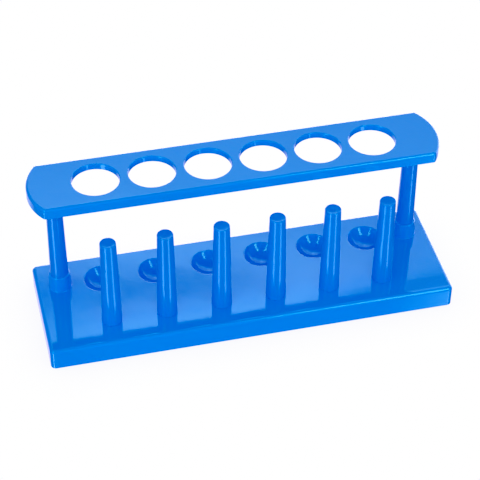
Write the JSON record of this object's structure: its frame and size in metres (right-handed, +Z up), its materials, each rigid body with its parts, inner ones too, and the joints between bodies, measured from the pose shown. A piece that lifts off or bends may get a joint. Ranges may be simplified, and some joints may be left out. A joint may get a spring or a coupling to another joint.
{
  "type": "test tube rack",
  "caption": "Free-standing blue plastic rack: a raised plate holds test tubes upright over cupped rests, with a row of tapered drying pegs in front.",
  "frame": {"origin": "centre of the rack's footprint, at bench level", "axes": "+X along the rack to the viewer's right, +Y to the back, where the tube row is, +Z up; the drying pegs are at the front, towards -Y"},
  "size_m": [0.1856, 0.0574, 0.0692],
  "materials": {
    "moulded_blue": "glossy moulded polypropylene",
    "stem_blue": "glossy moulded polypropylene"
  },
  "bodies": {
    "root": {"base": "moulded_blue", "top_plate": "moulded_blue", "left_post": "stem_blue", "right_post": "stem_blue", "drying_peg_1": "stem_blue", "drying_peg_2": "stem_blue", "drying_peg_3": "stem_blue", "drying_peg_4": "stem_blue", "drying_peg_5": "stem_blue", "drying_peg_6": "stem_blue"}
  },
  "joints": []
}
